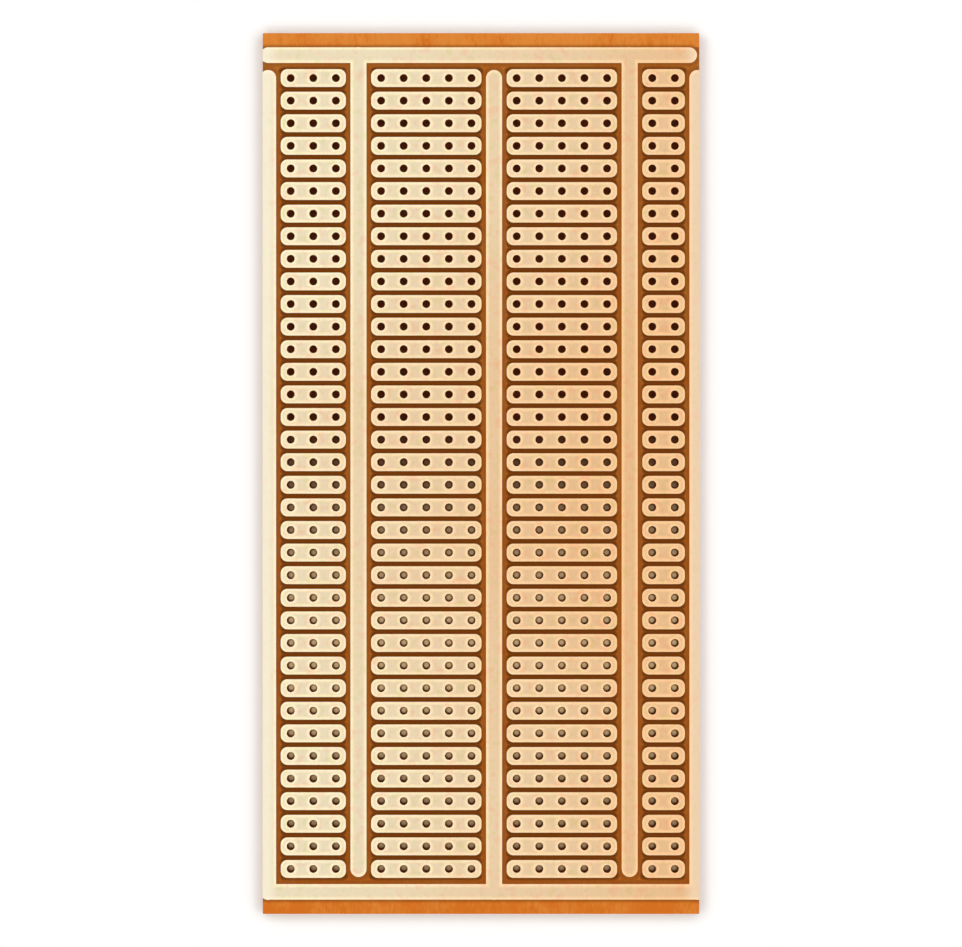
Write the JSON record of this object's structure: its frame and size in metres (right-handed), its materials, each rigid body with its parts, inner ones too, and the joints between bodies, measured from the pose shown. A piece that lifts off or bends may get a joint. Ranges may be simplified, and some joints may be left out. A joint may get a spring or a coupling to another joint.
{
  "type": "prototype board",
  "caption": "Flat phenolic-paper prototype board with a grid of lead holes, short joined copper pads and comb-shaped supply rails on its solder side, for building circuits by hand.",
  "frame": {"origin": "centre of the underside, the bare laminate face that the board lies on", "axes": "+X across the board from the pads of three holes to the pads of two holes, +Y along the board towards the bar of the upper comb, +Z out of the copper side"},
  "size_m": [0.049, 0.099, 0.0015],
  "materials": {
    "laminate": "orange-brown phenolic paper, satin, faintly mottled",
    "copper": "etched copper foil under clear lacquer, pale and satin"
  },
  "bodies": {
    "root": {"laminate": "laminate", "upper_comb": "copper", "lower_comb": "copper", "pads_row_01": "copper", "pads_row_02": "copper", "pads_row_03": "copper", "pads_row_04": "copper", "pads_row_05": "copper", "pads_row_06": "copper", "pads_row_07": "copper", "pads_row_08": "copper", "pads_row_09": "copper", "pads_row_10": "copper", "pads_row_11": "copper", "pads_row_12": "copper", "pads_row_13": "copper", "pads_row_14": "copper", "pads_row_15": "copper", "pads_row_16": "copper", "pads_row_17": "copper", "pads_row_18": "copper", "pads_row_19": "copper", "pads_row_20": "copper", "pads_row_21": "copper", "pads_row_22": "copper", "pads_row_23": "copper", "pads_row_24": "copper", "pads_row_25": "copper", "pads_row_26": "copper", "pads_row_27": "copper", "pads_row_28": "copper", "pads_row_29": "copper", "pads_row_30": "copper", "pads_row_31": "copper", "pads_row_32": "copper", "pads_row_33": "copper", "pads_row_34": "copper", "pads_row_35": "copper", "pads_row_36": "copper"}
  },
  "joints": []
}
